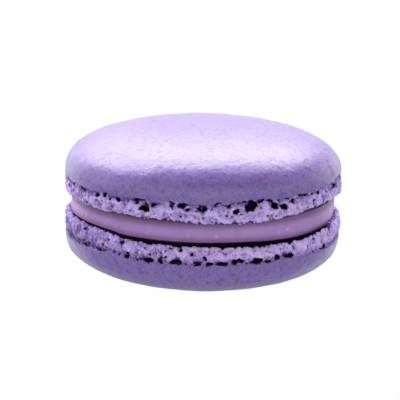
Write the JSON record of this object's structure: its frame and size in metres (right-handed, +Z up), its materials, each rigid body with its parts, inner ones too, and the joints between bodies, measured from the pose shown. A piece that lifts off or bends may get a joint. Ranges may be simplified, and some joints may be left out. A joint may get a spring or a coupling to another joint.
{
  "type": "french macaron",
  "caption": "Round lavender almond meringue biscuit sandwich: smooth domed shells with ruffled, crumbly feet around a smooth cream filling.",
  "frame": {"origin": "centre of the small flat spot under the lower shell, which the macaron rests on", "axes": "+Z up through both shells; a viewer who looks along +Y sees the side that the picture shows"},
  "size_m": [0.0457, 0.0455, 0.025],
  "materials": {
    "lavender_shell": "baked almond meringue: satin crust, rough crumbly foot",
    "mauve_cream": "smooth butter cream with a soft sheen"
  },
  "bodies": {
    "root": {"bottom_shell": "lavender_shell", "filling": "mauve_cream", "top_shell": "lavender_shell"}
  },
  "joints": []
}
